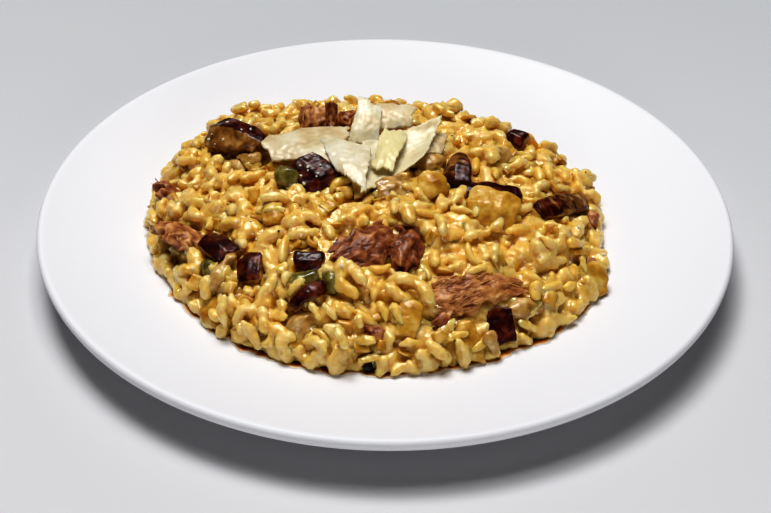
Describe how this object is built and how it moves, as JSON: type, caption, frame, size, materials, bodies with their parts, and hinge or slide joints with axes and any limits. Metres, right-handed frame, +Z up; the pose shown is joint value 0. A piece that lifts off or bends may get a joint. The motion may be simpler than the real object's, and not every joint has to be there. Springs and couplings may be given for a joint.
{
  "type": "plated rice dish",
  "caption": "Low mound of creamy golden risotto with pieces of duck, dark mushroom, onion and cheese shavings, served on a shallow round white plate that stands on a foot ring.",
  "frame": {"origin": "centre of the plate on the table, under its foot ring", "axes": "+Z up, the plate's axis and its shortest extent; -Y towards the camera that took the picture; +X to the right of the picture"},
  "size_m": [0.25, 0.25, 0.05],
  "materials": {
    "duck_meat": "moist, fibrous dark brown meat",
    "green_pieces": "wet olive green",
    "dark_mushroom": "wet, near-black purple-brown skin",
    "pale_mushroom": "moist olive-beige flesh",
    "onion": "wet, translucent yellow",
    "hard_cheese": "ivory, slightly translucent shaving",
    "peppercorn": "black and wrinkled",
    "porcelain": "glossy white glaze",
    "risotto_rice": "golden, wet and creamy"
  },
  "bodies": {
    "root": {"duck_bit_low": "duck_meat", "duck_bit_right": "duck_meat", "duck_crisp": "duck_meat", "duck_front": "duck_meat", "duck_left_edge": "duck_meat", "duck_shreds_left": "duck_meat", "duck_shreds_right": "duck_meat", "duck_slab_left": "duck_meat", "duck_slab_right": "duck_meat", "duck_top": "duck_meat", "duck_under_shreds": "duck_meat", "green_cross_a": "green_pieces", "green_cross_b": "green_pieces", "green_left": "green_pieces", "green_top": "green_pieces", "mushroom_arc": "dark_mushroom", "mushroom_back_dark": "dark_mushroom", "mushroom_button": "pale_mushroom", "mushroom_cap_back": "dark_mushroom", "mushroom_dark_middle": "dark_mushroom", "mushroom_edge_right": "dark_mushroom", "mushroom_hollow_front": "dark_mushroom", "mushroom_left": "dark_mushroom", "mushroom_pale_round": "pale_mushroom", "mushroom_pale_strip": "pale_mushroom", "mushroom_quarter_back": "dark_mushroom", "mushroom_round_middle": "pale_mushroom", "mushroom_slice_right": "dark_mushroom", "mushroom_square_left": "dark_mushroom", "mushroom_square_top": "dark_mushroom", "mushroom_stem_left": "pale_mushroom", "mushroom_stemmed": "pale_mushroom", "mushroom_strip_front": "pale_mushroom", "mushroom_strip_low": "pale_mushroom", "mushroom_under_flake": "pale_mushroom", "onion_back": "onion", "onion_back_far": "onion", "onion_back_left": "onion", "onion_corner_right": "onion", "onion_fold_middle": "onion", "onion_lump_front": "onion", "onion_slab_front": "onion", "onion_slab_right": "onion", "onion_triangle_front": "onion", "onion_upper_left": "onion", "onion_wedge_front": "onion", "onion_wedge_left": "onion", "parmesan_back": "hard_cheese", "parmesan_centre": "hard_cheese", "parmesan_inner": "hard_cheese", "parmesan_left": "hard_cheese", "parmesan_right": "hard_cheese", "parmesan_small": "hard_cheese", "parmesan_top": "hard_cheese", "peppercorn": "peppercorn", "plate": "porcelain", "rice_heap": "risotto_rice"}
  },
  "joints": []
}
